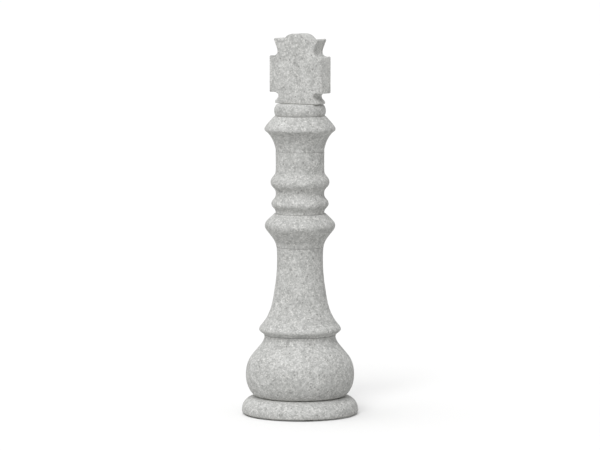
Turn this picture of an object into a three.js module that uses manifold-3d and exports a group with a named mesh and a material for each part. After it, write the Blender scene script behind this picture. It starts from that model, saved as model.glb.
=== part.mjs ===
// Giant lawn chess king, 940 mm tall: a stack of hollow granite-effect polyethylene mouldings.
// Millimetres, +Z up. The origin is on the ground at the centre of the base. The flat faces of
// the cross look along -Y (front) and +Y (back).
//
// From the ground up: base (disc, ballast tank, sand, filler plug, rubber feet), stem,
// head (collars, beads, drum, plinth), cross.
// The stem screws onto the tank and the head onto the stem. The filler plug screws into the tank
// from below, and the cross pulls out of a socket in the plinth.
import * as THREE from "three";
import { mergeVertices } from "three/addons/utils/BufferGeometryUtils.js";
import Module from "manifold-3d";

const wasm = await Module();
wasm.setup();

// ---- driving dimensions ----
const HEIGHT = 940; // ground to the top of the cross
const SEGMENTS = 32; // facets round a moulding, and steps in a turn of thread
const WALL = 5;

const BASE_R = 143.5;
const DISC_BOTTOM = 3; // the disc's rim stands this far off the ground on its feet
const DISC_TOP = 44;
const FOOT_R = 14;
const BULB_R = 133.8; // widest ring of the tank
const TANK_BOTTOM = 44.5;
const TANK_SHOULDER = 196.6; // the stem stands over it
const SPIGOT_TOP = 231; // closed top of the tank

const LIP_R = 101; // flared foot of the stem
const STEM_SHOULDER = 413.5; // the head stands over it

const COLLAR_LOW_R = 86.8;
const COLLAR_HIGH_R = 87.5;
const HEAD_BOTTOM = 497; // lowest visible edge of the head shell
const DRUM_TOP = 650;
const PLINTH_BOTTOM = 738;
const PLINTH_TOP = 767.5;

const CROSS_BOTTOM = 768;
const CROSS_ARM_Z = 839.8; // centre line of the side arms
const CROSS_HALF_SPAN = 78.3;
const CROSS_FACE = 20; // from the middle plane to a flat face
const TENON = { x: 55, y: 25, bottom: 717, top: 803 };

// Places round the axis, [x, y].
const FOOT_PLACES = placesRound({ count: 4, radius: 118, start: Math.PI / 4 });
const TANK_SCREW_PLACES = placesRound({ count: 4, radius: 80, start: 0 });
const RING_SCREW_PLACES = placesRound({ count: 3, radius: 66.5, start: Math.PI / 2 });

// Places on the cross, [x, z]. The lowest screw passes through the tenon.
const TENON_SCREW_PLACE = [0, 787];
const CROSS_BOSS_PLACES = [[0, 903], [-60, CROSS_ARM_Z], [60, CROSS_ARM_Z]];
const CROSS_SCREW_PLACES = [...CROSS_BOSS_PLACES, TENON_SCREW_PLACE];

// Threads: base and crest are the ridge's widths, gap is the clearance in the groove.
const WIDE_THREAD = { pitch: 12, base: 5, crest: 2.8, depth: 2.6, gap: 0.8 };
const PLUG_THREAD = { pitch: 8, base: 3.6, crest: 2, depth: 2.2, gap: 0.7 };

// Joints: root is the male cylinder, bore the female one, z the height at turn zero.
// The ridge runs from turn zero to ridgeEnd, the groove over the span grooveTurns.
const STEM_JOINT = {
  ...WIDE_THREAD, root: 56, bore: 57.4, z: 208, ridgeEnd: 1.25, grooveTurns: [-1.25, 1.46875],
};
const HEAD_JOINT = {
  ...WIDE_THREAD, root: 44, bore: 45.4, z: 421.5, ridgeEnd: 1.125, grooveTurns: [-1, 1.34375],
};
const PLUG_JOINT = {
  ...PLUG_THREAD, root: 25, bore: 26, z: 18, ridgeEnd: 1.25, grooveTurns: [-1.25, 1.5],
};

const FOOT_SCREW = { headRadius: 4.8, headHeight: 2.2, shankRadius: 2.1, length: 26 };
const TANK_SCREW = { headRadius: 5.6, headHeight: 3, shankRadius: 2.2, length: 24 };
const RING_SCREW = { headRadius: 4.6, headHeight: 3, shankRadius: 2.1, length: 36 };
const CROSS_SCREW = { headRadius: 4.8, headHeight: 3, shankRadius: 2, length: 29 };

// ---- finishes ----
const FINISH = {
  shell: new THREE.MeshStandardMaterial({
    name: "granite_polyethylene", color: 0xbdbdb9, roughness: 0.78, metalness: 0,
  }),
  inner: new THREE.MeshStandardMaterial({ color: 0x8d8f8e, roughness: 0.6, metalness: 0 }),
  rubber: new THREE.MeshStandardMaterial({ color: 0x26272a, roughness: 0.9, metalness: 0 }),
  steel: new THREE.MeshStandardMaterial({ color: 0xb6b8ba, roughness: 0.35, metalness: 1 }),
  sand: new THREE.MeshStandardMaterial({ color: 0xc9b48a, roughness: 1, metalness: 0 }),
};

// ---- between geometries and solids ----
function manifoldOf(positions, indices) {
  const vertProperties = new Float32Array(positions);
  const triVerts = new Uint32Array(indices);
  return new wasm.Manifold(new wasm.Mesh({ numProp: 3, vertProperties, triVerts }));
}

// Welds a closed geometry into a solid, turning it the right way out if need be.
function solid(geometry) {
  geometry.deleteAttribute("normal");
  geometry.deleteAttribute("uv");
  const welded = mergeVertices(geometry, 1e-3);
  const positions = welded.attributes.position.array;
  const corners = welded.index.array;
  const asBuilt = [];
  const flipped = [];
  for (let i = 0; i < corners.length; i += 3) {
    const [a, b, c] = corners.slice(i, i + 3);
    if (a === b || b === c || a === c) continue;
    asBuilt.push(a, b, c);
    flipped.push(a, c, b);
  }
  const result = manifoldOf(positions, asBuilt);
  return result.volume() < 0 ? manifoldOf(positions, flipped) : result;
}

function geometryOf(shape) {
  const mesh = shape.getMesh();
  return new THREE.BufferGeometry()
    .setAttribute("position", new THREE.BufferAttribute(new Float32Array(mesh.vertProperties), 3))
    .setIndex(new THREE.BufferAttribute(new Uint32Array(mesh.triVerts), 1));
}

function rotated(shape, matrix) {
  const geometry = geometryOf(shape).applyMatrix4(matrix);
  return manifoldOf(geometry.attributes.position.array, geometry.index.array);
}

// ---- basic shapes ----
// Three.js turns lathes and cylinders about Y; this stands them along Z.
function upright(geometry) {
  return geometry.rotateX(Math.PI / 2);
}

// A turned solid from [radius, height] points.
// A profile that touches the axis at both ends stays open, any other closes on itself.
function turned(profile, segments = SEGMENTS) {
  const points = profile.map(([radius, z]) => new THREE.Vector2(radius, z));
  const endsOnAxis = profile[0][0] === 0 && profile.at(-1)[0] === 0;
  if (!endsOnAxis) points.push(points[0].clone());
  return solid(upright(new THREE.LatheGeometry(points, segments)));
}

function tube([inner, outer], [z0, z1], segments) {
  return turned([[inner, z0], [outer, z0], [outer, z1], [inner, z1]], segments);
}

function cylinder(radius, [z0, z1], [x, y], segments = 10) {
  const geometry = new THREE.CylinderGeometry(radius, radius, z1 - z0, segments);
  return solid(upright(geometry).translate(x, y, (z0 + z1) / 2));
}

// A cylinder lying along Y.
function cylinderY(radius, [y0, y1], [x, z]) {
  const geometry = new THREE.CylinderGeometry(radius, radius, y1 - y0, 12);
  return solid(geometry.translate(x, (y0 + y1) / 2, z));
}

function boxGeometry([x0, x1], [y0, y1], [z0, z1]) {
  return new THREE.BoxGeometry(x1 - x0, y1 - y0, z1 - z0)
    .translate((x0 + x1) / 2, (y0 + y1) / 2, (z0 + z1) / 2);
}

function box(xSpan, ySpan, zSpan) {
  return solid(boxGeometry(xSpan, ySpan, zSpan));
}

// The tenon's outline, grown on all four sides by a margin.
function tenonBlock(margin, zSpan) {
  const x = TENON.x / 2 + margin;
  const y = TENON.y / 2 + margin;
  return box([-x, x], [-y, y], zSpan);
}

function anglesRound(count, start) {
  return Array.from({ length: count }, (_, i) => start + (2 * Math.PI * i) / count);
}

function placesRound({ count, radius, start }) {
  return anglesRound(count, start).map((a) => [radius * Math.cos(a), radius * Math.sin(a)]);
}

function drilled(shape, places, radius, zSpan) {
  return places.reduce((body, place) => body.subtract(cylinder(radius, zSpan, place)), shape);
}

// An [x, z] outline pulled in by a distance, along the mitre at each corner.
function insetOutline(outline, distance) {
  const count = outline.length;
  const twiceArea = outline.reduce((sum, [x, z], i) => {
    const [nextX, nextZ] = outline[(i + 1) % count];
    return sum + x * nextZ - nextX * z;
  }, 0);
  const inward = Math.sign(twiceArea);
  const edgeNormal = (from, to) => {
    const along = new THREE.Vector2(to[0] - from[0], to[1] - from[1]).normalize();
    return new THREE.Vector2(-along.y, along.x).multiplyScalar(inward);
  };
  return outline.map((point, i) => {
    const before = edgeNormal(outline[(i + count - 1) % count], point);
    const after = edgeNormal(point, outline[(i + 1) % count]);
    const shift = before.clone().add(after);
    shift.multiplyScalar(distance / Math.max(0.6, shift.dot(before))); // 0.6 limits sharp mitres
    return [point[0] + shift.x, point[1] + shift.y];
  });
}

// A flat slab with the given [x, z] outline, stacked from [y, inset] layers.
function slab(outline, layers) {
  const count = outline.length;
  const positions = layers.flatMap(([y, inset]) =>
    insetOutline(outline, inset).flatMap(([x, z]) => [x, y, z]),
  );
  const index = [];
  for (let layer = 0; layer + 1 < layers.length; layer++) {
    const near = layer * count;
    const far = near + count;
    for (let i = 0; i < count; i++) {
      const j = (i + 1) % count;
      index.push(near + i, near + j, far + j, near + i, far + j, far + i);
    }
  }
  const last = (layers.length - 1) * count;
  const flat = outline.map(([x, z]) => new THREE.Vector2(x, z));
  for (const [a, b, c] of THREE.ShapeUtils.triangulateShape(flat, [])) {
    index.push(c, b, a, last + a, last + b, last + c);
  }
  const geometry = new THREE.BufferGeometry()
    .setAttribute("position", new THREE.Float32BufferAttribute(positions, 3))
    .setIndex(index);
  return solid(geometry);
}

// ---- threads and screws ----
// A straight trapezoid bar, wound round the axis as a right-hand helix.
// The bar's x becomes radius, its y height, and its z counts turns.
// Over the taper, in turns, the ends shrink towards the inner radius.
function helix({ inner, outer, base, crest, z, pitch, turns: [from, to], taper = 0 }) {
  const section = new THREE.Shape([
    new THREE.Vector2(inner, -base / 2),
    new THREE.Vector2(outer, -crest / 2),
    new THREE.Vector2(outer, crest / 2),
    new THREE.Vector2(inner, base / 2),
  ]);
  const geometry = new THREE.ExtrudeGeometry(section, {
    depth: to - from,
    steps: Math.round((to - from) * SEGMENTS),
    bevelEnabled: false,
  });
  const points = geometry.attributes.position;
  for (let i = 0; i < points.count; i++) {
    const turn = from + points.getZ(i);
    const fullness = taper ? Math.min(1, (turn - from) / taper, (to - turn) / taper) : 1;
    const radius = inner + (points.getX(i) - inner) * Math.max(0.15, fullness);
    const angle = 2 * Math.PI * turn;
    const height = z + points.getY(i) + pitch * turn;
    points.setXYZ(i, radius * Math.cos(angle), radius * Math.sin(angle), height);
  }
  return solid(geometry);
}

// Male thread, sunk a little into its cylinder.
function ridge({ root, depth, base, crest, z, pitch, ridgeEnd }) {
  return helix({
    inner: root - 0.7, outer: root + depth, base, crest, z, pitch,
    turns: [0, ridgeEnd], taper: 0.125,
  });
}

// Cutter for the female thread, starting a little inside the bore.
function groove({ root, bore, depth, gap, base, crest, z, pitch, grooveTurns }) {
  return helix({
    inner: bore - 1.2, outer: root + depth + gap,
    base: base + 2 * gap + 0.6, crest: crest + 2 * gap,
    z, pitch, turns: grooveTurns,
  });
}

// A pan-head screw standing on its head.
function screw({ headRadius, headHeight, shankRadius, length }) {
  return turned([
    [0, 0], [headRadius * 0.7, 0], [headRadius, headHeight * 0.45], [headRadius, headHeight],
    [shankRadius, headHeight], [shankRadius, length - 2.5], [0, length],
  ], 10);
}

// ================= BASE =================
// All profiles below are [radius, height] points.

// An upside-down dish with a rounded upper edge, a hub, eight ribs and four foot bosses.
function baseDisc() {
  const outside = [
    [137.5, DISC_BOTTOM], [141.2, DISC_BOTTOM], [BASE_R, 6.5], [BASE_R, 13], [142, 21],
    [138.6, 28.4], [133, 34.8], [126, 39.6], [118, 42.6], [110, DISC_TOP], [36, DISC_TOP],
  ];
  const inside = [
    [36, DISC_TOP - WALL], [109, DISC_TOP - WALL], [122, 35.6], [131, 29.4], [136.6, 21],
    [138.4, 12],
  ];
  // Keeps the ribs and bosses within the dish.
  const envelope = turned([
    [0, DISC_BOTTOM], [139.5, DISC_BOTTOM], [139.8, 13], [138, 21], [132.4, 31], [122.6, 37.6],
    [109, 41.2], [0, 41.2],
  ]);
  let disc = turned([...outside, ...inside]).add(tube([38, 42.5], [13, 40.5]));
  for (const angle of anglesRound(8, Math.PI / 8)) {
    const rib = solid(boxGeometry([41, 140], [-2, 2], [12.5, 41.5]).rotateZ(angle));
    disc = disc.add(rib.intersect(envelope));
  }
  for (const place of FOOT_PLACES) {
    const boss = cylinder(FOOT_R + 1, [6.3, 42], place, 16).intersect(envelope);
    disc = disc.add(boss).subtract(cylinder(2.5, [6, 30], place));
  }
  return drilled(disc, TANK_SCREW_PLACES, 3.2, [36, 46]);
}

// The round bulb, with its threaded filler neck down and a closed threaded spigot up.
function ballastTank() {
  const { root } = STEM_JOINT;
  const neckBore = PLUG_JOINT.bore;
  const outside = [
    [0, SPIGOT_TOP], [52.5, SPIGOT_TOP], [root, 227.5], [root, TANK_SHOULDER],
    [88.6, TANK_SHOULDER], [87.8, 191], [90, 183.5], [95.4, 174.2], [104.6, 163], [113, 153],
    [122.4, 141], [128.8, 128], [132.6, 114.5], [BULB_R, 100], [133.2, 86], [130.2, 72.6],
    [122.8, 57], [117.2, 50.2], [111.2, 46], [104, TANK_BOTTOM], [34, TANK_BOTTOM], [34, 12],
  ];
  const inside = [
    [neckBore, 12], [neckBore, TANK_BOTTOM + WALL], [97, TANK_BOTTOM + WALL], [108.8, 53.6],
    [121, 66.5], [125.8, 80], [127, 92], [124.5, 113], [117.4, 128.5], [105.6, 145.5],
    [90, 165.5], [84, 177], [81, 191.5], [root - WALL, 191.5], [root - WALL, SPIGOT_TOP - WALL],
    [0, SPIGOT_TOP - WALL],
  ];
  let tank = turned([...outside, ...inside]);
  for (const place of TANK_SCREW_PLACES) {
    tank = tank.add(cylinder(8, [47, 66], place)).subtract(cylinder(2.6, [42, 61], place));
  }
  return tank.add(ridge(STEM_JOINT)).subtract(groove(PLUG_JOINT));
}

// Sand lying in the bottom of the tank, clear of the screw bosses.
function sandBallast() {
  const heap = turned([
    [0, 50.3], [96.2, 50.3], [107, 54.6], [118.4, 67.4], [123.4, 80.4], [124.8, 93],
    [121.2, 113], [114.6, 128], [60, 131], [0, 132],
  ], 24);
  return drilled(heap, TANK_SCREW_PLACES, 9.2, [46, 67.5]);
}

// A rubber pad with a sunk seat for its screw head.
function footPad() {
  const seatRadius = FOOT_SCREW.headRadius + 0.8;
  return turned([
    [seatRadius, 0], [FOOT_R - 1, 0], [FOOT_R, 1.2], [FOOT_R, 6], [2.7, 6], [2.7, 3.6],
    [seatRadius, 3.6],
  ], 16);
}

// A threaded cup, open below, with a bar across it to grip.
function fillerPlug() {
  const { root } = PLUG_JOINT;
  const cup = turned([
    [0, 38], [22, 38], [root, 35], [root, 8.6], [32.6, 8.6], [33.5, 7.6], [33.5, 5], [32.3, 4],
    [19, 4], [18, 22], [0, 22],
  ]);
  return cup.add(box([-18.6, 18.6], [-4, 4], [6, 22.5])).add(ridge(PLUG_JOINT));
}

function plugSeal() {
  return turned([
    [27.4, 9.4], [28.2, 8.9], [30.6, 8.9], [31.4, 9.4], [31.4, 11.2], [30.6, 11.7],
    [28.2, 11.7], [27.4, 11.2],
  ], 24);
}

// ================= STEM =================
// The tapering shell, with an inner flange low down and a threaded spigot on top.
function stemShell() {
  const { root } = HEAD_JOINT;
  const outside = [
    [85.2, 197.3], [89.2, 197.3], [92.4, 201], [97.4, 204.6], [100.6, 208.4], [LIP_R, 212],
    [98.6, 217], [92.6, 224.2], [84.6, 235.6], [77.4, 249.2], [71.2, 266], [66.6, 286],
    [62.2, 314], [59.4, 334], [57, 360], [56.8, 398], [57.8, STEM_SHOULDER],
    [root, STEM_SHOULDER], [root, 437.5], [41.5, 440],
  ];
  const inside = [
    [38.5, 440], [38.5, 408.5], [52, 406], [52.2, 360], [55.6, 314], [62.2, 275], [71.8, 239.5],
    [50, 239.5], [50, 234], [74, 234], [84, 223.5], [92.6, 213.5], [94.4, 209.8], [89, 204],
    [85.2, 201],
  ];
  const body = turned([...outside, ...inside]);
  return drilled(body, RING_SCREW_PLACES, 2.7, [230, 242]).add(ridge(HEAD_JOINT));
}

// Grips the tank's spigot; three screws hold it to the stem's inner flange.
function stemThreadRing() {
  let nut = tube([STEM_JOINT.bore, 72], [200.2, 233.6]);
  for (const place of RING_SCREW_PLACES) {
    nut = nut
      .subtract(cylinder(5.2, [199, 208.4], place))
      .subtract(cylinder(2.7, [207, 235], place));
  }
  return nut.subtract(groove(STEM_JOINT));
}

// ================= HEAD =================
function headThreadRing() {
  return tube([HEAD_JOINT.bore, 53.4], [417.2, 441]).subtract(groove(HEAD_JOINT));
}

function lowerCollar() {
  return turned([
    [54, 414.2], [58.3, 414.2], [59.4, 420.5], [63.6, 430.5], [69.8, 439.8], [76.6, 448.5],
    [82.8, 456.6], [86.2, 463], [COLLAR_LOW_R, 469], [84.6, 475.3], [78, 483], [70, 490.5],
    [63.6, 496.7], [56.5, 496.7], [56.5, 492], [79, 470.5], [79, 464], [70.5, 452],
    [63.5, 443], [54, 443],
  ]);
}

// Two beads and the drum, with a skirt that reaches down into the lower collar.
function headShell() {
  const outside = [
    [51, 476], [55.8, 476], [55.8, HEAD_BOTTOM], [60, HEAD_BOTTOM], [60, 502], [62.8, 508],
    [68.6, 514.5], [70.5, 521.5], [69, 529], [64.4, 535], [60.2, 540], [59.7, 547],
    [60.3, 554], [65.5, 560.5], [70.8, 568], [72.2, 575], [71, 582], [66.5, 589.5],
    [60.6, 596], [59.8, 612], [59.6, 630], [60, DRUM_TOP], [6, DRUM_TOP],
  ];
  const inside = [
    [6, DRUM_TOP - WALL], [54.8, DRUM_TOP - WALL], [54.8, 597.5], [66.5, 575.5], [54.8, 551],
    [54.8, 543.5], [65, 521.5], [54.8, 502], [51, 497],
  ];
  return turned([...outside, ...inside]);
}

function upperCollar() {
  return turned([
    [55, 650.4], [59.7, 650.4], [60.2, 657], [63, 667.5], [66.8, 677.5], [73.2, 689],
    [81.3, 697.4], [86.6, 702.4], [COLLAR_HIGH_R, 705.8], [85.7, 710.6], [77, 722],
    [68.2, 731.8], [62.4, 737.6], [50, 737.6], [50, 733], [57, 731.5], [79.6, 710],
    [80.2, 707], [69.5, 693.5], [61.5, 678.5],
  ]);
}

// A moulded cap with the tenon's socket, bored below for the crown bolt.
function crossPlinth() {
  const cap = turned([
    [0, 704], [22, 704], [22, 728], [49.4, 728], [49.4, PLINTH_BOTTOM], [60.2, PLINTH_BOTTOM],
    [62, 741.5], [63.4, 747], [63.4, 753], [61.8, 759], [59.8, 763], [57, 766.2],
    [53, PLINTH_TOP], [0, PLINTH_TOP],
  ]);
  return cap
    .add(box([-32.5, 32.5], [-17.5, 17.5], [704, 730]))
    .subtract(tenonBlock(0.7, [709, 770]))
    .subtract(cylinder(5.6, [700, 712], [0, 0], 16));
}

const CROWN_HEX_R = 9.8; // across the corners, bolt head and nut alike

// Tie bolt that clamps plinth, upper collar and drum together.
function crownBolt() {
  const shank = turned([[0, 628], [4, 628], [5, 629.5], [5, 709.3], [0, 709.3]], 16);
  return shank.add(cylinder(CROWN_HEX_R, [709.2, 715.6], [0, 0], 6));
}

function crownNut() {
  const hexagon = cylinder(CROWN_HEX_R, [634, 642], [0, 0], 6);
  return hexagon.subtract(cylinder(5.4, [630, 645], [0, 0], 16));
}

// ================= CROSS =================
// The +X side of the outline, [x, z], from the bottom up to the dome.
const CROSS_SIDE = [
  [60, CROSS_BOTTOM], [62.4, 771], [59, 775.6], [54, 780.6], [51.8, 786], [53.4, 791],
  [58.8, 794.3], [67, 795.4], [CROSS_HALF_SPAN, CROSS_ARM_Z - 45.3],
  [CROSS_HALF_SPAN, CROSS_ARM_Z + 45.3], [67, 884.2], [59.6, 886.6], [55.4, 891],
  [54.6, 897.5], [57.4, 906], [61.4, 915.4], [65.4, 924], [63, 927.8], [56, 926.5],
  [49.5, 923.6], [43.5, 922.2], [38, 923.8], [32, 929], [25, 934.8], [16, 938.6], [8, 939.8],
];

// What both halves share, built on the front (-Y) side and open towards the middle plane.
function crossHalf() {
  const seam = -0.2;
  const chamfer = 1.8;
  const mirrored = CROSS_SIDE.map(([x, z]) => [-x, z]).reverse();
  const blank = slab([...CROSS_SIDE, [0, HEIGHT], ...mirrored], [
    [seam, 0], [-CROSS_FACE + chamfer, 0], [-CROSS_FACE, chamfer],
  ]);
  const depth = [-CROSS_FACE + 4.2, 1];
  const armReach = CROSS_HALF_SPAN - WALL;
  const upright = box([-44.5, 44.5], depth, [CROSS_BOTTOM + WALL, 914]);
  const arms = box([-armReach, armReach], depth, [CROSS_ARM_Z - 38, CROSS_ARM_Z + 38]);
  let half = blank.subtract(upright.add(arms));
  for (const place of CROSS_BOSS_PLACES) {
    half = half.add(cylinderY(6.5, [-CROSS_FACE + 4, seam], place));
  }
  return half.subtract(tenonBlock(0.5, [TENON.bottom, TENON.top + 0.5]));
}

// Takes the screw tips in blind holes.
function crossFront() {
  return CROSS_SCREW_PLACES.reduce(
    (half, place) => half.subtract(cylinderY(2.5, [-CROSS_FACE + 5.5, 1], place)),
    crossHalf(),
  );
}

// The same half turned round, with counterbores for the screw heads.
function crossBack() {
  return CROSS_SCREW_PLACES.reduce(
    (half, place) => half
      .subtract(cylinderY(5.6, [CROSS_FACE - 5, CROSS_FACE + 2], place))
      .subtract(cylinderY(2.8, [-1, CROSS_FACE], place)),
    rotated(crossHalf(), new THREE.Matrix4().makeRotationZ(Math.PI)),
  );
}

// A block hollow from below, with a cross hole for the lowest screw.
function crossTenon() {
  return tenonBlock(0, [TENON.bottom, TENON.top])
    .subtract(tenonBlock(-WALL, [TENON.bottom - 1, 770]))
    .subtract(cylinderY(2.8, [-20, 20], TENON_SCREW_PLACE));
}

// ================= ASSEMBLY =================
const king = new THREE.Group();

// A group of the king, as a function that adds a named piece to it.
function section() {
  const group = new THREE.Group();
  king.add(group);
  return (name, shape, material, [x, y, z] = [0, 0, 0]) => {
    const mesh = new THREE.Mesh(geometryOf(shape), material);
    mesh.name = name;
    mesh.position.set(x, y, z);
    group.add(mesh);
  };
}

const { shell, inner, rubber, steel, sand } = FINISH;

const addBase = section();
addBase("base_disc", baseDisc(), shell);
addBase("ballast_tank", ballastTank(), shell);
addBase("sand_ballast", sandBallast(), sand);
FOOT_PLACES.forEach(([x, y], i) => {
  addBase(`foot_pad_${i + 1}`, footPad(), rubber, [x, y, 0]);
  addBase(`foot_screw_${i + 1}`, screw(FOOT_SCREW), steel, [x, y, 1.2]);
});
TANK_SCREW_PLACES.forEach(([x, y], i) => {
  addBase(`tank_screw_${i + 1}`, screw(TANK_SCREW), steel, [x, y, 35.6]);
});
addBase("filler_plug", fillerPlug(), inner);
addBase("plug_seal", plugSeal(), rubber);

const addStem = section();
addStem("stem_shell", stemShell(), shell);
addStem("stem_thread_ring", stemThreadRing(), inner);
RING_SCREW_PLACES.forEach(([x, y], i) => {
  addStem(`ring_screw_${i + 1}`, screw(RING_SCREW), steel, [x, y, 204.9]);
});
addStem("stem_seal", tube([60, 72], [196.95, 199.85]), rubber);

const addHead = section();
addHead("head_seal", tube([47.5, 53], [413.9, 416.8]), rubber);
addHead("head_thread_ring", headThreadRing(), inner);
addHead("lower_collar", lowerCollar(), shell);
addHead("head_shell", headShell(), shell);
addHead("upper_collar", upperCollar(), shell);
addHead("cross_plinth", crossPlinth(), shell);
addHead("crown_bolt", crownBolt(), steel);
addHead("crown_washer", tube([5.5, 15], [642.4, 644.7], 16), steel);
addHead("crown_nut", crownNut(), steel);

const addCross = section();
addCross("cross_front", crossFront(), shell);
addCross("cross_back", crossBack(), shell);
addCross("cross_tenon", crossTenon(), inner);
// Heads in the back face, shanks running forwards: the rotation takes +Z to -Y.
const forwards = new THREE.Matrix4().makeRotationX(Math.PI / 2);
CROSS_SCREW_PLACES.forEach(([x, z], i) => {
  const place = [x, CROSS_FACE - 1.4, z];
  addCross(`cross_screw_${i + 1}`, rotated(screw(CROSS_SCREW), forwards), steel, place);
});

export default king;
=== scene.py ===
import math
from types import SimpleNamespace

import bmesh
import bpy
from mathutils import Matrix, Vector


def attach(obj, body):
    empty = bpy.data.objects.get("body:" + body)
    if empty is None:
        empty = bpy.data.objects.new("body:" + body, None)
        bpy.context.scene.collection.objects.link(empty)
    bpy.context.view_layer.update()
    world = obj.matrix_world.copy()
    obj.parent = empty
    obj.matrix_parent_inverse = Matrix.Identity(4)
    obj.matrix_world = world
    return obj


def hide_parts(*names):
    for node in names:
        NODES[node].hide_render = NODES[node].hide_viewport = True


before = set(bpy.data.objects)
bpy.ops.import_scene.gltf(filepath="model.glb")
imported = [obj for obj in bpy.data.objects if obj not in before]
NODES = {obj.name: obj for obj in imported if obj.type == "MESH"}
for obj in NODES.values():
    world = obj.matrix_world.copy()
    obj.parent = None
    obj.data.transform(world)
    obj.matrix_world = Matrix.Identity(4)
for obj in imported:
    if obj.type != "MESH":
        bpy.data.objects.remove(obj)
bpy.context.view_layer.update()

MM = 0.001
TURN = 2 * math.pi
QUARTER = math.pi / 2
SHARP_ANGLE = 38  # degrees between faces that make an edge sharp
CROSS_SHARP_ANGLE = 30


# ------------------------------------------------------------------ outlines
def blend(a, b, start, stop, t):
    """a at t = start, b at t = stop."""
    return a * ((stop - t) / (stop - start)) + b * ((t - start) / (stop - start))


def catmull_rom(points, step, closed=False):
    """Points about step apart along a centripetal Catmull-Rom curve."""
    points = [Vector(p) for p in points]
    if closed:
        guides = [points[-1]] + points + points[:2]
    else:
        guides = [2 * points[0] - points[1]] + points + [2 * points[-1] - points[-2]]
    curve = []
    for p0, p1, p2, p3 in zip(guides, guides[1:], guides[2:], guides[3:]):
        t0 = 0.0
        t1 = t0 + max((p1 - p0).length, 1e-6) ** 0.5
        t2 = t1 + max((p2 - p1).length, 1e-6) ** 0.5
        t3 = t2 + max((p3 - p2).length, 1e-6) ** 0.5
        count = max(1, math.ceil((p2 - p1).length / step))
        for k in range(count):
            t = t1 + (t2 - t1) * k / count
            first = blend(p0, p1, t0, t1, t)
            middle = blend(p1, p2, t1, t2, t)
            last = blend(p2, p3, t2, t3, t)
            before = blend(first, middle, t0, t2, t)
            after = blend(middle, last, t1, t3, t)
            curve.append(blend(before, after, t1, t2, t))
    if not closed:
        curve.append(points[-1])
    return curve


def chop(run, distance):
    """The run with distance taken off its start."""
    run = list(run)
    while distance > 0:
        length = (run[1] - run[0]).length
        if length <= distance + 1e-9 and len(run) > 2:
            distance -= length
            run.pop(0)
        else:
            run[0] = run[0] + (run[1] - run[0]) * min(distance / length, 0.95)
            distance = 0
    return run


def trim(run, at_start, at_end):
    """The run shortened at both ends, by less than half its length at each."""
    most = 0.45 * sum((b - a).length for a, b in zip(run, run[1:]))
    run = chop(run, min(at_start, most))
    return chop(run[::-1], min(at_end, most))[::-1]


def outline(items, closed=True, step=2.5, arc=3):
    """Items are (a, b) on a smooth run, or (a, b, f) for a corner cut back by f and rounded."""
    count = len(items)
    corners = [i for i, item in enumerate(items) if len(item) > 2]
    if not closed:
        marks = sorted({0, *corners, count - 1})
        spans = list(zip(marks, marks[1:]))
    elif corners:
        spans = list(zip(corners, corners[1:] + corners[:1]))
    else:
        return catmull_rom(items, step, closed=True)

    def rounding(i):
        return items[i][2] if len(items[i]) > 2 else 0

    runs = []
    for start, end in spans:
        length = (end - start) % count or count
        points = [Vector(items[(start + k) % count][:2]) for k in range(length + 1)]
        run = points if len(points) == 2 else catmull_rom(points, step)
        runs.append(trim(run, rounding(start), rounding(end)))

    joined = []
    for k, (_, end) in enumerate(spans):
        joined.extend(runs[k])
        if not closed and k == len(spans) - 1:
            break
        a, corner, b = runs[k][-1], Vector(items[end][:2]), runs[(k + 1) % len(runs)][0]
        if rounding(end) > 0:
            for j in range(1, arc + 1):
                t = j / (arc + 1)
                joined.append(a * (1 - t) ** 2 + corner * 2 * t * (1 - t) + b * t * t)
        else:
            joined.pop()  # the next run starts on the same point

    clean = []
    for p in joined:
        if not clean or (p - clean[-1]).length > 0.02:
            clean.append(p)
    if closed and (clean[0] - clean[-1]).length < 0.02:
        clean.pop()
    return clean


def circle(count, radius, offset=0.0):
    """Places spaced evenly round Z."""
    angles = [offset + TURN * i / count for i in range(count)]
    return [(radius * math.cos(a), radius * math.sin(a)) for a in angles]


# ------------------------------------------------------------------ meshes
def move(x, y, z):
    return Matrix.Translation((x * MM, y * MM, z * MM))


def turn(angle, axis="Z"):
    return Matrix.Rotation(angle, 4, axis)


def set_shading(piece, angle=SHARP_ANGLE):
    piece.data.shade_smooth()
    piece.data.set_sharp_from_angle(angle=math.radians(angle))


def new_object(name, bm):
    bmesh.ops.recalc_face_normals(bm, faces=bm.faces)
    mesh = bpy.data.meshes.new(name)
    bm.to_mesh(mesh)
    bm.free()
    piece = bpy.data.objects.new(name, mesh)
    bpy.context.scene.collection.objects.link(piece)
    set_shading(piece)
    return piece


def band(bm, a, b):
    """Faces between two closed rows, either of which may be a single point."""
    count = max(len(a), len(b))
    for k in range(count):
        j = (k + 1) % count
        if len(a) == 1:
            bm.faces.new((a[0], b[k], b[j]))
        elif len(b) == 1:
            bm.faces.new((a[k], a[j], b[0]))
        else:
            bm.faces.new((a[k], a[j], b[j], b[k]))


def loft(name, bm, rows):
    """A solid through the rows, with a flat face at each end."""
    for a, b in zip(rows, rows[1:]):
        band(bm, a, b)
    bm.faces.new(rows[0])
    bm.faces.new(rows[-1])
    return new_object(name, bm)


def lathe(name, profile, seg=144, step=2.5):
    """A solid turned from (radius, z[, rounding]). A profile off the axis closes on itself."""
    on_axis = profile[0][0] == 0 and profile[-1][0] == 0
    bm = bmesh.new()
    rings = []
    for radius, z in outline(profile, closed=not on_axis, step=step):
        if radius < 1e-6:
            places = [(0, 0)]
        else:
            places = circle(seg, radius * MM)
        rings.append([bm.verts.new((x, y, z * MM)) for x, y in places])
    for a, b in zip(rings, rings[1:]):
        band(bm, a, b)
    if not on_axis:
        band(bm, rings[-1], rings[0])
    return new_object(name, bm)


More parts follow.
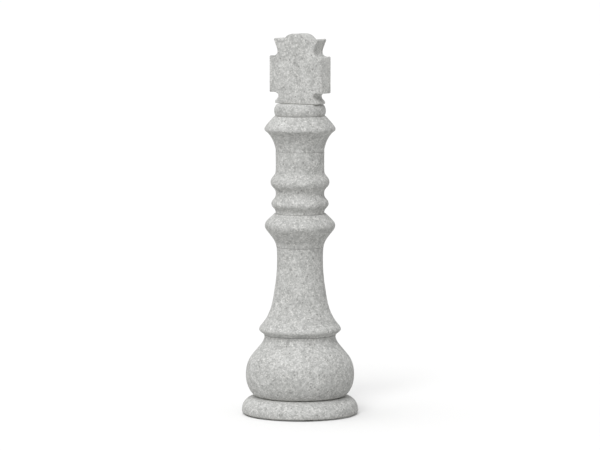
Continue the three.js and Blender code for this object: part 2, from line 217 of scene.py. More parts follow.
def tube(name, inner, outer, bottom, top, rounding=(0.5, 0.5, 0.5, 0.5), seg=128):
    """A plain ring. Rounding runs from the bottom inner corner outwards, up and back in."""
    corners = [(inner, bottom), (outer, bottom), (outer, top), (inner, top)]
    return lathe(name, [(*corner, f) for corner, f in zip(corners, rounding)], seg=seg)


def rod(radius, bottom, top, x=0, y=0, seg=32):
    """A plain cylinder along Z."""
    piece = lathe("rod", [(0, bottom), (radius, bottom, 0), (radius, top, 0), (0, top)], seg=seg)
    piece.data.transform(move(x, y, 0))
    return piece


def rods(places, radius, bottom, top, seg=20):
    return [rod(radius, bottom, top, x, y, seg) for x, y in places]


def plate(name, points, layers):
    """A flat solid whose outline stands in XZ, stacked from (y, inset) layers."""
    following = points[1:] + points[:1]
    area = sum(a.x * b.y - b.x * a.y for a, b in zip(points, following))
    sign = 1 if area > 0 else -1
    inward = []
    for i, (point, after) in enumerate(zip(points, following)):
        u = (point - points[i - 1]).normalized()
        v = (after - point).normalized()
        normal_u = Vector((-u.y, u.x)) * sign
        normal_v = Vector((-v.y, v.x)) * sign
        miter = normal_u + normal_v
        inward.append(miter / max(0.6, miter.dot(normal_u)))
    bm = bmesh.new()
    rows = []
    for y, inset in layers:
        places = [(p.x + w.x * inset, p.y + w.y * inset) for p, w in zip(points, inward)]
        rows.append([bm.verts.new((x * MM, y * MM, z * MM)) for x, z in places])
    return loft(name, bm, rows)


def block(name, x, y, z, bevel=0.0, segments=3, matrix=None):
    """A block between the (low, high) pairs x, y and z, with rounded edges."""
    bm = bmesh.new()
    bmesh.ops.create_cube(bm, size=1)
    size = [(high - low) * MM for low, high in (x, y, z)]
    middle = [(low + high) / 2 * MM for low, high in (x, y, z)]
    bmesh.ops.scale(bm, vec=size, verts=bm.verts)
    bmesh.ops.translate(bm, vec=middle, verts=bm.verts)
    if bevel:
        bmesh.ops.bevel(bm, geom=list(bm.edges), offset=bevel * MM, segments=segments,
                        profile=0.5, affect="EDGES", clamp_overlap=True)
    if matrix:
        bmesh.ops.transform(bm, matrix=matrix, verts=bm.verts)
    return new_object(name, bm)


def helix(inner, outer, base, crest, z, pitch, start, stop, taper=0.0, per_turn=96):
    """A right-hand thread ridge from turn start to stop, thinning over taper turns at its ends.

    Its section is a rounded trapezoid, base wide at inner and crest wide at outer.
    """
    c = min(0.3, 0.3 * crest)
    t = min(0.35, 0.3 * (outer - inner))
    section = [
        (inner, -base / 2), (outer - t, -crest / 2 - t / 2), (outer, -crest / 2 + c),
        (outer, crest / 2 - c), (outer - t, crest / 2 + t / 2), (inner, base / 2),
    ]
    bm = bmesh.new()
    rows = []
    steps = round((stop - start) * per_turn)
    for k in range(steps + 1):
        w = start + (stop - start) * k / steps
        height = max(0.12, min(1, (w - start) / taper, (stop - w) / taper)) if taper else 1.0
        row = []
        for radius, rise in section:
            r = inner + (radius - inner) * height
            x, y = r * MM * math.cos(TURN * w), r * MM * math.sin(TURN * w)
            row.append(bm.verts.new((x, y, (z + rise + pitch * w) * MM)))
        rows.append(row)
    return loft("helix", bm, rows)


def combine(target, tools, operation):
    """Target combined with every tool in turn. The tools are used up."""
    for tool in tools:
        modifier = target.modifiers.new("boolean", "BOOLEAN")
        modifier.operation = operation
        modifier.solver = "MANIFOLD"
        modifier.object = tool
    deps = bpy.context.evaluated_depsgraph_get()
    deps.update()
    mesh = bpy.data.meshes.new_from_object(target.evaluated_get(deps))
    target.modifiers.clear()
    old = target.data
    target.data = mesh
    mesh.name = target.name
    bpy.data.meshes.remove(old)
    for tool in tools:
        old = tool.data
        bpy.data.objects.remove(tool)
        bpy.data.meshes.remove(old)
    bm = bmesh.new()
    bm.from_mesh(mesh)
    bmesh.ops.remove_doubles(bm, verts=bm.verts, dist=2e-6)
    bmesh.ops.dissolve_degenerate(bm, edges=bm.edges, dist=1e-6)
    bm.to_mesh(mesh)
    bm.free()
    set_shading(target)
    return target


def join(target, *tools):
    return combine(target, tools, "UNION")


def cut(target, *tools):
    return combine(target, tools, "DIFFERENCE")


# ------------------------------------------------------------------ materials
class Nodes:
    """Short ways to add nodes to a shader tree."""

    def __init__(self, tree):
        self.tree = tree

    def put(self, socket, value):
        """Link a socket, or set a value. Colours are given as (r, g, b)."""
        if isinstance(value, bpy.types.NodeSocket):
            self.tree.links.new(value, socket)
        elif socket.type == "RGBA":
            socket.default_value = (*value, 1)
        else:
            socket.default_value = value

    def add(self, kind, **settings):
        """Names with a leading _ are node properties, the others are inputs."""
        node = self.tree.nodes.new(kind)
        for key, value in settings.items():
            if key.startswith("_"):
                setattr(node, key[1:], value)
            else:
                self.put(node.inputs[key.replace("_", " ")], value)
        return node

    def vector(self, operation, *values):
        node = self.add("ShaderNodeVectorMath", _operation=operation)
        for socket, value in zip(node.inputs, values):
            self.put(socket, value)
        return node.outputs

    def math(self, operation, a, b):
        node = self.add("ShaderNodeMath", _operation=operation)
        self.put(node.inputs[0], a)
        self.put(node.inputs[1], b)
        return node.outputs[0]


class Surface(Nodes):
    """A node material whose textures may be shifted by an offset."""

    def __init__(self, name, offset=None):
        self.material = bpy.data.materials.new(name)
        self.material.use_nodes = True
        super().__init__(self.material.node_tree)
        self.principled = self.tree.nodes["Principled BSDF"]
        self.place = self.add("ShaderNodeTexCoord").outputs["Object"]
        self.offset = offset

    def shifted(self, offset):
        return self.place if offset is None else self.vector("ADD", self.place, offset)["Vector"]

    def noise(self, scale, detail, rough, distortion=0.0, vector=None):
        vector = vector or self.shifted(self.offset)
        node = self.add("ShaderNodeTexNoise", Scale=scale, Detail=detail, Roughness=rough,
                        Distortion=distortion, Vector=vector)
        return node.outputs["Fac"]

    def cells(self, scale, offset=None):
        """The distance to each cell's centre, and the channels of its random colour."""
        vector = self.shifted(offset or self.offset)
        cell = self.add("ShaderNodeTexVoronoi", Scale=scale, Vector=vector).outputs
        channels = self.add("ShaderNodeSeparateColor", Color=cell["Color"]).outputs
        return cell["Distance"], channels

    def occlusion(self, distance):
        return self.add("ShaderNodeAmbientOcclusion", Distance=distance, _samples=8).outputs["AO"]

    def ramp(self, factor, *stops):
        """Stops are (position, grey or colour)."""
        node = self.add("ShaderNodeValToRGB", Fac=factor)
        elements = node.color_ramp.elements
        while len(elements) < len(stops):
            elements.new(0.5)
        for element, (position, c) in zip(elements, stops):
            element.position = position
            element.color = (c, c, c, 1) if isinstance(c, (int, float)) else (*c, 1)
        return node.outputs["Color"]

    def mix(self, factor, a, b, mode="MIX"):
        node = self.add("ShaderNodeMix", _data_type="RGBA", _blend_type=mode)
        # the sockets of the colour version of the node
        for index, value in ((0, factor), (6, a), (7, b)):
            self.put(node.inputs[index], value)
        return node.outputs[2]

    def bump(self, height, strength, distance, **under):
        node = self.add("ShaderNodeBump", Strength=strength, Distance=distance, Height=height,
                        **under)
        return node.outputs["Normal"]

    def finish(self, color, roughness, normal=None, metallic=0.0, specular=0.5):
        values = {"Base Color": color, "Roughness": roughness, "Metallic": metallic,
                  "Specular IOR Level": specular}
        if normal is not None:
            values["Normal"] = normal
        for key, value in values.items():
            self.put(self.principled.inputs[key], value)
        return self.material


def granite(name, shift):
    """Light grey granite effect. Shift moves the pattern from piece to piece."""
    offset = (shift * 3.1, shift * 1.7, shift * 2.3)
    s = Surface(name, offset)
    # soft mottling from a hand's width down to a fingertip
    cloud = s.ramp(s.noise(scale=9, detail=3, rough=0.5), (0.3, 0.47), (0.72, 0.53))
    mottle = s.ramp(s.noise(scale=75, detail=3, rough=0.55, distortion=0.4),
                    (0.32, 0.43), (0.68, 0.57))
    # grains about 3 mm across, each with its own grey, softened by a finer noise
    _, tone = s.cells(scale=330)
    grains = s.ramp(tone["Red"], (0.0, (0.332, 0.334, 0.323)), (0.25, (0.41, 0.412, 0.402)),
                    (0.6, (0.462, 0.464, 0.453)), (0.88, (0.53, 0.53, 0.516)),
                    (1.0, (0.606, 0.604, 0.588)))
    fine = s.ramp(s.noise(scale=900, detail=2, rough=0.6), (0.36, 0.45), (0.62, 0.55))
    color = s.mix(0.8, grains, fine, mode="OVERLAY")
    color = s.mix(1.0, color, mottle, mode="OVERLAY")
    color = s.mix(0.9, color, cloud, mode="OVERLAY")
    # sparse dark flecks and a few pale ones, uneven in size
    distance, pick = s.cells(scale=120, offset=(offset[0] + 0.31, offset[1], offset[2]))
    size = s.math("MULTIPLY", s.noise(scale=160, detail=2, rough=0.6), 0.42)
    near = s.ramp(s.math("SUBTRACT", distance, size), (0.0, 1.0), (0.12, 0.0))
    dark = s.math("MULTIPLY", near, s.ramp(pick["Green"], (0.86, 0.0), (0.88, 1.0)))
    color = s.mix(s.math("MULTIPLY", dark, 0.68), color, (0.2, 0.2, 0.192))
    pale = s.math("MULTIPLY", near, s.ramp(pick["Blue"], (0.88, 0.0), (0.9, 1.0)))
    color = s.mix(s.math("MULTIPLY", pale, 0.4), color, (0.76, 0.76, 0.74))
    # painted light in the grooves: where the occlusion is deep, the colour is lifted in patches
    # towards a pale grey that lightens their shade
    recess = s.ramp(s.occlusion(distance=0.012), (0.3, 1.0), (0.85, 0.0))
    patches = s.ramp(s.noise(scale=40, detail=4, rough=0.6), (0.3, 0.12), (0.7, 0.5))
    color = s.mix(s.math("MULTIPLY", recess, patches), color, (0.64, 0.635, 0.605))
    # a paler rub along the edges
    pointiness = s.add("ShaderNodeNewGeometry").outputs["Pointiness"]
    edge = s.ramp(pointiness, (0.515, 0.0), (0.56, 1.0))
    patches = s.ramp(s.noise(scale=70, detail=3, rough=0.6), (0.35, 0.1), (0.7, 0.55))
    color = s.mix(s.math("MULTIPLY", edge, patches), color, (0.74, 0.74, 0.72))
    roughness = s.ramp(s.noise(scale=120, detail=3, rough=0.6), (0.3, 0.62), (0.7, 0.8))
    # grain relief over a broad unevenness
    height = s.math("ADD", s.math("MULTIPLY", tone["Green"], 0.35),
                    s.noise(scale=700, detail=3, rough=0.6))
    normal = s.bump(height, strength=0.35, distance=0.0004)
    normal = s.bump(s.noise(scale=22, detail=2, rough=0.5), strength=0.25, distance=0.0012,
                    Normal=normal)
    return s.finish(color, roughness, normal, specular=0.32)


def moulded_grey():
    """Plain moulded plastic: flow mottling, fine orange-peel and dust in the corners."""
    s = Surface("moulded_grey")
    base = (0.3, 0.305, 0.3)
    flow = s.ramp(s.noise(scale=18, detail=4, rough=0.6), (0.3, 0.0), (0.7, 1.0))
    color = s.mix(flow, (0.22, 0.225, 0.222), base)
    speckle = s.ramp(s.noise(scale=420, detail=2, rough=0.5), (0.4, 0.0), (0.6, 0.22))
    color = s.mix(speckle, color, tuple(v * 1.5 for v in base))
    dust = s.ramp(s.occlusion(distance=0.01), (0.3, 0.55), (0.9, 0.0))
    color = s.mix(dust, color, (0.34, 0.32, 0.27))
    normal = s.bump(s.noise(scale=600, detail=3, rough=0.55), strength=0.3, distance=0.0003)
    roughness = s.ramp(s.noise(scale=60, detail=3, rough=0.6), (0.3, 0.4), (0.7, 0.56))
    return s.finish(color, roughness, normal, specular=0.4)


def black_rubber():
    s = Surface("black_rubber")
    wear = s.ramp(s.noise(scale=60, detail=5, rough=0.65), (0.42, 0.0), (0.75, 1.0))
    color = s.mix(wear, (0.016, 0.016, 0.018), (0.07, 0.068, 0.062))
    normal = s.bump(s.noise(scale=1400, detail=3, rough=0.6), strength=0.4, distance=0.0002)
    roughness = s.ramp(s.noise(scale=90, detail=3, rough=0.6), (0.3, 0.72), (0.7, 0.92))
    return s.finish(color, roughness, normal, specular=0.3)


def stainless_steel():
    """Steel with fine turning lines across Z."""
    s = Surface("stainless_steel")
    squeezed = s.add("ShaderNodeMapping", Vector=s.place, Scale=(300, 300, 2600))
    lines = s.noise(scale=1.0, detail=4, rough=0.6, vector=squeezed.outputs["Vector"])
    stain = s.ramp(s.noise(scale=90, detail=4, rough=0.6), (0.35, 0.0), (0.72, 1.0))
    color = s.mix(stain, (0.56, 0.565, 0.57), (0.4, 0.395, 0.38))
    normal = s.bump(lines, strength=0.25, distance=0.00008)
    return s.finish(color, s.ramp(lines, (0.3, 0.24), (0.7, 0.42)), normal, metallic=1.0)


def loose_sand():
    s = Surface("loose_sand")
    distance, tone = s.cells(scale=700)
    color = s.ramp(tone["Red"], (0.0, (0.3, 0.21, 0.11)), (0.4, (0.55, 0.42, 0.24)),
                   (0.8, (0.68, 0.55, 0.35)), (1.0, (0.8, 0.74, 0.6)))
    normal = s.bump(distance, strength=0.9, distance=0.0008)
    return s.finish(color, roughness=0.95, normal=normal, specular=0.2)


# finishes are (slot, material)
PLASTIC = ("inner_plastic", moulded_grey())
RUBBER = ("rubber", black_rubber())
STEEL = ("steel", stainless_steel())
SAND = loose_sand()


def stone(part, shift):
    return "granite_shell", granite(f"granite_{part}", shift)


def dress(piece, body, node, finish):
    """Give the piece its finish and put it in place of a CAD node."""
    slot, material = finish
    piece.data.materials.clear()
    piece.data.materials.append(material)
    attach(piece, body)
    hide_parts(node)


# ------------------------------------------------------------------ threads and screws
# ridge sections: width at the base and crest, depth, and the gap left round them by the groove
COARSE = dict(pitch=12, base=5, crest=2.8, depth=2.6, gap=0.8)
FINE = dict(pitch=8, base=3.6, crest=2.0, depth=2.2, gap=0.7)

# root: radius the ridge stands on; bore: radius the groove is cut from; z: height at turn 0
TANK_JOINT = SimpleNamespace(root=56, bore=57.4, z=208, **COARSE)
HEAD_JOINT = SimpleNamespace(root=44, bore=45.4, z=421.5, **COARSE)
PLUG_JOINT = SimpleNamespace(root=25, bore=26, z=18, **FINE)


def ridge(joint, turns):
    return helix(joint.root - 0.7, joint.root + joint.depth, joint.base, joint.crest,
                 joint.z, joint.pitch, start=0, stop=turns, taper=0.125)


def groove(joint, start, stop):
    return helix(joint.bore - 1.2, joint.root + joint.depth + joint.gap,
                 joint.base + 2 * joint.gap + 0.6, joint.crest + 2 * joint.gap,
                 joint.z, joint.pitch, start, stop)


def screw(name, head_r, head_h, shank_r, length, matrix):
    """A pan-head screw standing on its head, with a cross recess and a wound thread."""
    pitch = 1.5
    core = shank_r * 0.86
    piece = lathe(name, [
        (0, 0), (head_r * 0.62, 0.12), (head_r * 0.88, head_h * 0.3), (head_r, head_h * 0.72),
        (head_r, head_h, 0.2), (core, head_h, 0.3), (core, length - 2.6, 0.3), (0, length),
    ], seg=40, step=0.6)
    piece = join(piece, helix(
        inner=shank_r * 0.8, outer=shank_r, base=0.9, crest=0.25, z=head_h + 2.2, pitch=pitch,
        start=0, stop=(length - head_h - 5.5) / pitch, taper=0.3, per_turn=24))
    half, thin = 0.55 * head_r, 0.13 * head_r
    recess = [
        block("recess", (-half, half), (-thin, thin), (-1, head_h * 0.62), matrix=turn(angle))
        for angle in (0, QUARTER)
    ]
    piece = cut(piece, *recess)
    piece.data.transform(matrix)
    return piece


# ------------------------------------------------------------------ base
FEET = circle(4, 118, math.pi / 4)
TANK_SCREWS = circle(4, 80)
RIB_COUNT = 8

# Profiles are (radius, z) on a smooth run, or (radius, z, rounding) at a corner.
DISC = [
    (137.5, 3, 1.2), (141.2, 3, 1.6), (143.3, 6.5), (143.5, 12.5), (142.1, 20.8),
    (138.8, 28.3), (133.2, 34.7), (126, 39.6), (118, 42.6), (110, 44, 1), (36, 44, 0.5),
    (36, 39, 0.5), (109, 39, 3), (122, 35.6), (131, 29.4), (136.6, 21), (138.4, 12, 2),
]
# the space under the disc, a little into its wall, that holds the ribs and posts
UNDER_DISC = [
    (0, 3), (139.5, 3, 0), (139.8, 13, 2), (138, 21), (132.4, 31), (122.6, 37.6),
    (109, 41.2, 2), (0, 41.2),
]
TANK = [
    (0, 231), (52.5, 231, 1.2), (56, 227.5, 1.2), (56, 196.6, 1.5), (88.6, 196.6, 0.8),
    (87.8, 191), (90, 183.5), (95.2, 174.4), (103.6, 164.2), (113, 153), (122.2, 141.2),
    (128.6, 128.5), (132.4, 115), (133.8, 101), (133.4, 87), (130.4, 73), (127, 64.6),
    (122.8, 57), (117.2, 50.2), (111.2, 46), (104, 44.5, 1), (34, 44.5, 1), (34, 12, 1),
    (26, 12, 1), (26, 49.5, 1), (97, 49.5, 2), (108.8, 53.6), (121, 66.5), (125.8, 80),
    (127, 92), (124.5, 113), (117.4, 128.5), (105.6, 145.5), (90, 165.5), (84, 177),
    (81, 191.5, 2), (51, 191.5, 2), (51, 226, 2), (0, 226),
]
FOOT_PAD = [
    (5.6, 0, 0.3), (13, 0, 0.5), (14, 1.2, 0.4), (14, 6, 0.3), (2.7, 6, 0.2), (2.7, 3.6, 0.2),
    (5.6, 3.6, 0.2),
]
PLUG = [
    (0, 38), (22, 38, 1), (25, 35, 1), (25, 8.6, 0.6), (32.6, 8.6, 0.4), (33.5, 7.6, 0.6),
    (33.5, 5, 0.6), (32.3, 4, 0.6), (19, 4, 0.8), (18, 22, 1.5), (0, 22),
]
PLUG_SEAL = [
    (27.4, 9.5), (28.3, 8.9), (30.5, 8.9), (31.4, 9.5), (31.4, 11.1), (30.5, 11.7),
    (28.3, 11.7), (27.4, 11.1),
]

# base disc, with a hub, ribs and screw posts beneath it
disc = lathe("base_disc_moulding", DISC, seg=160)
hub = tube("hub", 38, 42.5, 13, 40.5, rounding=(0.6, 0.6, 0, 0), seg=144)
ribs = [
    block("rib", (41, 140), (-2, 2), (12.5, 41.5), bevel=0.8, segments=2,
          matrix=turn(math.pi / RIB_COUNT + TURN * i / RIB_COUNT))
    for i in range(RIB_COUNT)
]
web = join(*ribs, *rods(FEET, 15, 6.3, 42, seg=40))
web = combine(web, [lathe("envelope", UNDER_DISC, seg=96)], "INTERSECT")
disc = join(disc, hub, web)
disc = cut(disc, *rods(FEET, 2.5, 6, 30), *rods(TANK_SCREWS, 3.2, 36, 46))
dress(disc, "base", "base_disc", stone("disc", 0.1))

# ballast tank, with screw bosses in its floor
tank = lathe("ballast_tank_moulding", TANK, seg=160)
tank = join(tank, *rods(TANK_SCREWS, 8, 47, 66, seg=32), ridge(TANK_JOINT, 1.25))
tank = cut(tank, *rods(TANK_SCREWS, 2.6, 42, 61), groove(PLUG_JOINT, -1.25, 1.5))
dress(tank, "base", "ballast_tank", stone("tank", 0.2))

# feet: a rubber pad with a ring groove below, and its screw
for i, (x, y) in enumerate(FEET):
    pad = lathe(f"foot_pad_moulding_{i + 1}", FOOT_PAD, seg=64)
    pad = cut(pad, tube("groove", 8.4, 10.4, -1, 0.7, rounding=(0, 0, 0.3, 0.3), seg=64))
    pad.data.transform(move(x, y, 0))
    dress(pad, "base", f"foot_pad_{i + 1}", RUBBER)
    foot_screw = screw(f"foot_screw_turned_{i + 1}", head_r=4.8, head_h=2.2, shank_r=2.1,
                       length=26, matrix=move(x, y, 1.2) @ turn(0.4 + i))
    dress(foot_screw, "base", f"foot_screw_{i + 1}", STEEL)

for i, (x, y) in enumerate(TANK_SCREWS):
    tank_screw = screw(f"tank_screw_turned_{i + 1}", head_r=5.6, head_h=3, shank_r=2.2,
                       length=24, matrix=move(x, y, 35.6) @ turn(0.9 + 1.3 * i))
    dress(tank_screw, "base", f"tank_screw_{i + 1}", STEEL)

# filler plug, with a bar across its hollow and notches round its flange
plug = lathe("filler_plug_moulding", PLUG, seg=128)
bar = block("bar", (-18.6, 18.6), (-4, 4), (6, 22.5), bevel=1.2)
plug = join(plug, bar, ridge(PLUG_JOINT, 1.25))
plug = cut(plug, *rods(circle(24, 34.2), 1.3, 2, 10, seg=16))
dress(plug, "filler_plug", "filler_plug", PLASTIC)
dress(lathe("plug_seal_ring", PLUG_SEAL, seg=96, step=0.6), "plug_seal", "plug_seal", RUBBER)

# ------------------------------------------------------------------ stem
RING_SCREWS = circle(3, 66.5, QUARTER)
STEM = [
    (85.2, 197.3, 0.6), (89.2, 197.3, 0.8), (92.4, 201), (97.4, 204.6), (100.6, 208.4),
    (101, 212), (98.6, 217), (92.6, 224.2), (84.6, 235.6), (77.4, 249.2), (71.2, 266),
    (66.6, 286), (62.2, 314), (59.4, 334), (57.2, 360), (56.8, 398), (57.8, 413.5, 0.8),
    (44, 413.5, 1), (44, 437.5, 0.8), (41.5, 440, 0.8), (38.5, 440, 0.8), (38.5, 408.5, 2),
    (52, 406, 3), (52.2, 360), (55.6, 314), (62.2, 275), (71.8, 239.5, 2), (50, 239.5, 0.8),
    (50, 234, 0.8), (74, 234, 2), (84, 223.5), (92.6, 213.5, 2), (94.4, 209.8, 2), (89, 204),
    (85.2, 201, 1),
]

stem = lathe("stem_moulding", STEM)
stem = join(stem, ridge(HEAD_JOINT, 1.125))
stem = cut(stem, *rods(RING_SCREWS, 2.7, 230, 242))
dress(stem, "stem", "stem_shell", stone("stem", 0.3))

stem_ring = tube("stem_thread_moulding", TANK_JOINT.bore, 72, 200.2, 233.6,
                 rounding=(0.6, 1, 1, 0.6))
stem_ring = cut(stem_ring, *rods(RING_SCREWS, 5.2, 199, 208.4, seg=28),
                *rods(RING_SCREWS, 2.7, 207, 235), groove(TANK_JOINT, -1.25, 1.46875))
dress(stem_ring, "stem", "stem_thread_ring", PLASTIC)
for i, (x, y) in enumerate(RING_SCREWS):
    ring_screw = screw(f"ring_screw_turned_{i + 1}", head_r=4.6, head_h=3, shank_r=2.1,
                       length=36, matrix=move(x, y, 204.9) @ turn(0.5 + i))
    dress(ring_screw, "stem", f"ring_screw_{i + 1}", STEEL)
dress(tube("stem_seal_ring", 60, 72, 196.95, 199.85), "stem_seal", "stem_seal", RUBBER)

# ------------------------------------------------------------------ head
LOW_COLLAR = [
    (54, 414.2, 0.6), (58.3, 414.2, 0.8), (59.4, 420.5), (63.6, 430.5), (69.8, 439.8),
    (76.6, 448.5), (82.6, 456.2), (86, 462.6), (86.9, 468.6), (84.8, 475.1), (78, 483),
    (70, 490.5), (63.6, 496.7, 0.8), (56.5, 496.7, 0.6), (56.5, 492, 1), (79, 470.5, 3),
    (79, 464, 3), (70.5, 452), (63.5, 443, 1), (54, 443, 0.6),
]
DRUM = [
    (51, 476, 0.8), (55.8, 476, 0.8), (55.8, 497, 0.3), (60, 497, 0.8), (60.4, 503),
    (62.8, 508.2), (67.4, 513.3), (70.3, 518.3), (70.4, 523.7), (67.6, 529.7), (63, 535.1),
    (60.2, 540.9), (59.6, 547.4), (60.8, 554.2), (65, 560.1), (70, 565.7), (72.3, 571.5),
    (72.3, 577.1), (70, 583.5), (65.2, 589.9), (61, 596.1), (59.9, 603.5), (59.7, 615),
    (59.7, 632), (60, 650, 0.8), (6, 650, 0.4), (6, 645, 0.4), (54.8, 645, 2), (54.8, 597.5),
    (66.5, 575.5), (54.8, 551), (54.8, 543.5), (65, 521.5), (54.8, 502), (51, 497, 1),
]
HIGH_COLLAR = [
    (55, 650.4, 0.4), (59.7, 650.4, 0.8), (60.2, 657), (62.8, 666.8), (66.6, 677),
    (72.8, 688), (80.2, 696.8), (86.2, 701.8), (87.5, 705.6), (86, 710.3), (80.8, 717.4),
    (74.2, 725.2), (68.2, 731.8), (62.4, 737.6, 0.6), (50, 737.6, 0.6), (50, 733, 1),
    (57, 731.5, 1), (79.6, 710, 3), (80.2, 707), (69.5, 693.5), (61.5, 678.5),
]
PLINTH = [
    (0, 704), (22, 704, 0.8), (22, 728, 1), (49.4, 728, 0.8), (49.4, 738, 0.3),
    (60.2, 738, 0.6), (62, 741.5), (63.4, 747), (63.5, 753), (61.9, 759), (59.8, 763),
    (57, 766.2), (53, 767.5, 1.2), (0, 767.5),
]

dress(tube("head_seal_ring", 47.5, 53, 413.9, 416.8), "head_seal", "head_seal", RUBBER)
head_ring = tube("head_thread_moulding", HEAD_JOINT.bore, 53.4, 417.2, 441, rounding=(0.6,) * 4)
head_ring = cut(head_ring, groove(HEAD_JOINT, -1.0, 1.34375))
dress(head_ring, "head", "head_thread_ring", PLASTIC)

for name, profile, node, part, shift in (
    ("lower_collar_moulding", LOW_COLLAR, "lower_collar", "collar_low", 0.4),
    ("ringed_drum_moulding", DRUM, "head_shell", "drum", 0.5),
    ("upper_collar_moulding", HIGH_COLLAR, "upper_collar", "collar_high", 0.6),
):
    dress(lathe(name, profile), "head", node, stone(part, shift))

# plinth, with a socket for the tenon of the cross and a bolt hole in the socket's floor
plinth = lathe("cross_plinth_moulding", PLINTH)
plinth = join(plinth, block("socket", (-32.5, 32.5), (-17.5, 17.5), (704, 730), bevel=1))
plinth = cut(plinth, block("hollow", (-28.2, 28.2), (-13.2, 13.2), (709, 770)),
             rod(5.6, 700, 712, seg=40))
dress(plinth, "head", "cross_plinth", stone("plinth", 0.7))

# ------------------------------------------------------------------ cross
ARM_Z = 839.8  # middle of the arms
ARM_HALF_HEIGHT = 45.3
HALF_SPAN = 78.3
HALF_DEPTH = 20.0
EDGE = 1.6  # radius of the rounded edge of each face
EDGE_STEPS = 5
TENON_SCREW_Z = 787
POSTS = [(0, 903), (-60, ARM_Z), (60, ARM_Z)]  # (x, z)
CROSS_SCREWS = POSTS + [(0, TENON_SCREW_Z)]
# outline of the +X side from the foot up, (x, z) or (x, z, rounding)
SIDE = [
    (0, 768, 0), (62.4, 768, 2.2), (62, 773.2), (59, 777), (54.4, 780.8), (51.9, 785.8),
    (53.5, 790.8), (58.8, 794.2), (67, 795.4), (HALF_SPAN, ARM_Z - ARM_HALF_HEIGHT, 3.2),
    (HALF_SPAN, ARM_Z + ARM_HALF_HEIGHT, 3.2), (67, 884.4), (59.6, 886.8), (55.5, 891),
    (54.6, 897.5), (57.3, 906), (61.2, 915.2), (65.8, 925, 2.2), (63.4, 928.2, 2.2),
    (56, 926.7), (49.5, 923.7), (43.5, 922.2), (38, 923.8), (32, 929), (25, 934.8),
    (16, 938.6), (8, 939.8),
]
other_side = [(-x, *rest) for x, *rest in reversed(SIDE[1:])]
cross_outline = outline(SIDE + [(0, 940)] + other_side, step=2.0, arc=5)


def cross_rod(radius, start, stop, x, z, seg=32):
    """A cylinder along Y, from y = -start to y = -stop."""
    piece = rod(radius, start, stop, seg=seg)
    piece.data.transform(move(x, 0, z) @ turn(QUARTER, "X"))
    return piece


def cross_rods(places, radius, start, stop):
    return [cross_rod(radius, start, stop, x, z) for x, z in places]


def cross_half(name, back):
    """A hollow half with three posts, on the -Y side, or turned round for the back."""
    angles = [QUARTER * k / EDGE_STEPS for k in range(EDGE_STEPS + 1)]
    edge = [(-HALF_DEPTH + EDGE * (1 - math.sin(a)), EDGE * (1 - math.cos(a))) for a in angles]
    half = plate(name, cross_outline, [(-0.2, 0.35), (-0.55, 0.0)] + edge)
    inside = (-HALF_DEPTH + 4.2, 1)
    arm = HALF_SPAN - 5
    hollow = join(
        block("upright", (-44.5, 44.5), inside, (773, 914), bevel=1.5),
        block("arms", (-arm, arm), inside, (ARM_Z - 38, ARM_Z + 38), bevel=1.5))
    half = cut(half, hollow)
    half = join(half, *cross_rods(POSTS, 6.5, 0.2, HALF_DEPTH - 4))
    half = cut(half, block("tenon_space", (-28, 28), (-13, 13), (700, 803.5)))
    if back:
        half.data.transform(turn(math.pi))
        # screw heads are sunk into the back face
        half = cut(half, *cross_rods(CROSS_SCREWS, 5.6, -HALF_DEPTH - 2, -HALF_DEPTH + 5),
                   *cross_rods(CROSS_SCREWS, 2.8, -HALF_DEPTH, 1))
    else:
        half = cut(half, *cross_rods(CROSS_SCREWS, 2.5, -1, HALF_DEPTH - 5.5))
    set_shading(half, CROSS_SHARP_ANGLE)
    return half


for side, shift in (("front", 0.8), ("back", 0.9)):
    dress(cross_half(f"cross_{side}_moulding", side == "back"), "cross", f"cross_{side}",
          stone(f"cross_{side}", shift))

# tenon between the halves, hollow from below and drilled through along Y
tenon = block("cross_tenon_moulding", (-27.5, 27.5), (-12.5, 12.5), (717, 803), bevel=1.0)
tenon = cut(tenon, block("hollow", (-22.5, 22.5), (-7.5, 7.5), (716, 770), bevel=0.6))
tenon = cut(tenon, cross_rod(2.8, -20, 20, 0, TENON_SCREW_Z, seg=24))
dress(tenon, "cross", "cross_tenon", PLASTIC)

for i, (x, z) in enumerate(CROSS_SCREWS):
    matrix = move(x, HALF_DEPTH - 1.4, z) @ turn(QUARTER, "X") @ turn(0.3 + 1.1 * i)
    cross_screw = screw(f"cross_screw_turned_{i + 1}", head_r=4.8, head_h=3, shank_r=2,
                        length=29, matrix=matrix)
    dress(cross_screw, "cross", f"cross_screw_{i + 1}", STEEL)

# ------------------------------------------------------------------ CAD nodes that stay
for node, material in {
    "crown_bolt": STEEL[1], "crown_washer": STEEL[1], "crown_nut": STEEL[1],
    "sand_ballast": SAND,
}.items():
    piece = NODES[node]
    if not piece.material_slots:
        piece.data.materials.append(material)
    for slot in piece.material_slots:
        slot.material = material


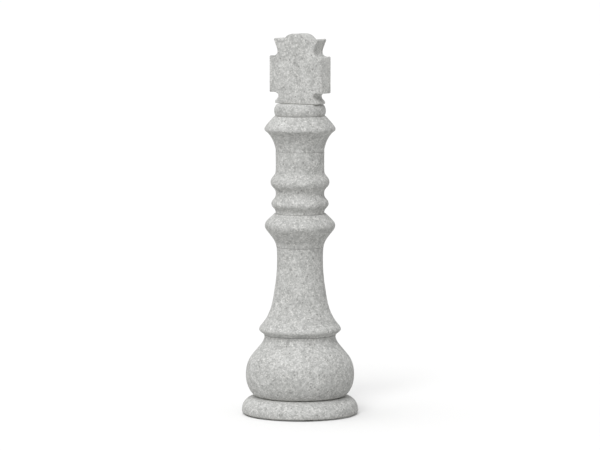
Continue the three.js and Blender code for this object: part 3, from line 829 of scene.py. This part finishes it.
# ------------------------------------------------------------------ studio
def studio_floor():
    """Near-white floor, clear from below and, for the light, under the base."""
    s = Surface("studio_floor")
    cloud = s.ramp(s.noise(scale=0.6, detail=2, rough=0.5), (0.3, 0.0), (0.7, 1.0))
    color = s.mix(cloud, (0.83, 0.83, 0.828), (0.836, 0.836, 0.834))
    # what it throws back on the piece is kept low
    camera_ray = s.add("ShaderNodeLightPath").outputs["Is Camera Ray"]
    color = s.mix(camera_ray, (0.58, 0.58, 0.57), color)
    s.finish(color, roughness=0.8, specular=0.1)
    # light gets through inside the footprint of the base
    clear = s.add("ShaderNodeBsdfTransparent")
    geometry = s.add("ShaderNodeNewGeometry").outputs
    flat = s.vector("MULTIPLY", geometry["Position"], (1, 1, 0))["Vector"]
    reach = s.vector("LENGTH", flat)["Value"]
    under_base = s.math("MULTIPLY", s.math("LESS_THAN", reach, 0.13),
                        s.math("SUBTRACT", 1.0, camera_ray))
    # seen from below it is clear, so the underside of the piece can be looked at
    is_clear = s.math("MAXIMUM", geometry["Backfacing"], under_base)
    either = s.add("ShaderNodeMixShader", Fac=is_clear)
    s.put(either.inputs[1], s.principled.outputs["BSDF"])
    s.put(either.inputs[2], clear.outputs["BSDF"])
    s.put(s.tree.nodes["Material Output"].inputs["Surface"], either.outputs["Shader"])
    return s.material


scene = bpy.context.scene
floor_material = studio_floor()
bm = bmesh.new()
bmesh.ops.create_grid(bm, x_segments=2, y_segments=2, size=120)
floor = new_object("floor", bm)
floor.data.materials.append(floor_material)
floor.location = (0, 0, -0.0005)

# sky, brighter from above and from the left of the camera
world = bpy.data.worlds.new("studio")
scene.world = world
world.use_nodes = True
background = world.node_tree.nodes["Background"]
background.inputs["Strength"].default_value = 0.69
sky = Nodes(world.node_tree)
direction = sky.add("ShaderNodeTexCoord").outputs["Generated"]
across = sky.vector("DOT_PRODUCT", direction, (-0.62, -0.42, 0.66))["Value"]
spread = sky.add("ShaderNodeMapRange", From_Min=-1, From_Max=1, To_Min=0.4, To_Max=1.6,
                 Value=across)
sky.put(background.inputs["Color"], spread.outputs["Result"])


def add_sun(name, azimuth, elevation, strength, softness):
    """Angles in degrees. Azimuth 0 shines from -Y, 90 from +X."""
    light = bpy.data.lights.new(name, "SUN")
    light.energy = strength
    light.angle = math.radians(softness)
    sun = bpy.data.objects.new(name, light)
    scene.collection.objects.link(sun)
    a, e = math.radians(azimuth), math.radians(elevation)
    away = Vector((math.sin(a) * math.cos(e), -math.cos(a) * math.cos(e), math.sin(e)))
    sun.rotation_euler = away.to_track_quat("Z", "Y").to_euler()


add_sun("key", azimuth=24, elevation=50, strength=1.58, softness=28)

CAMERA_TARGET = Vector((0, 0, 0.468))
lens = bpy.data.cameras.new("camera")
camera = bpy.data.objects.new("camera", lens)
scene.collection.objects.link(camera)
camera.location = (5.04, -7.05, 1.32)
camera.rotation_euler = (CAMERA_TARGET - camera.location).to_track_quat("-Z", "Y").to_euler()
lens.sensor_width = 36
lens.lens = 212
lens.clip_end = 400
scene.camera = camera
scene.view_settings.view_transform = "Standard"
scene.view_settings.look = "None"
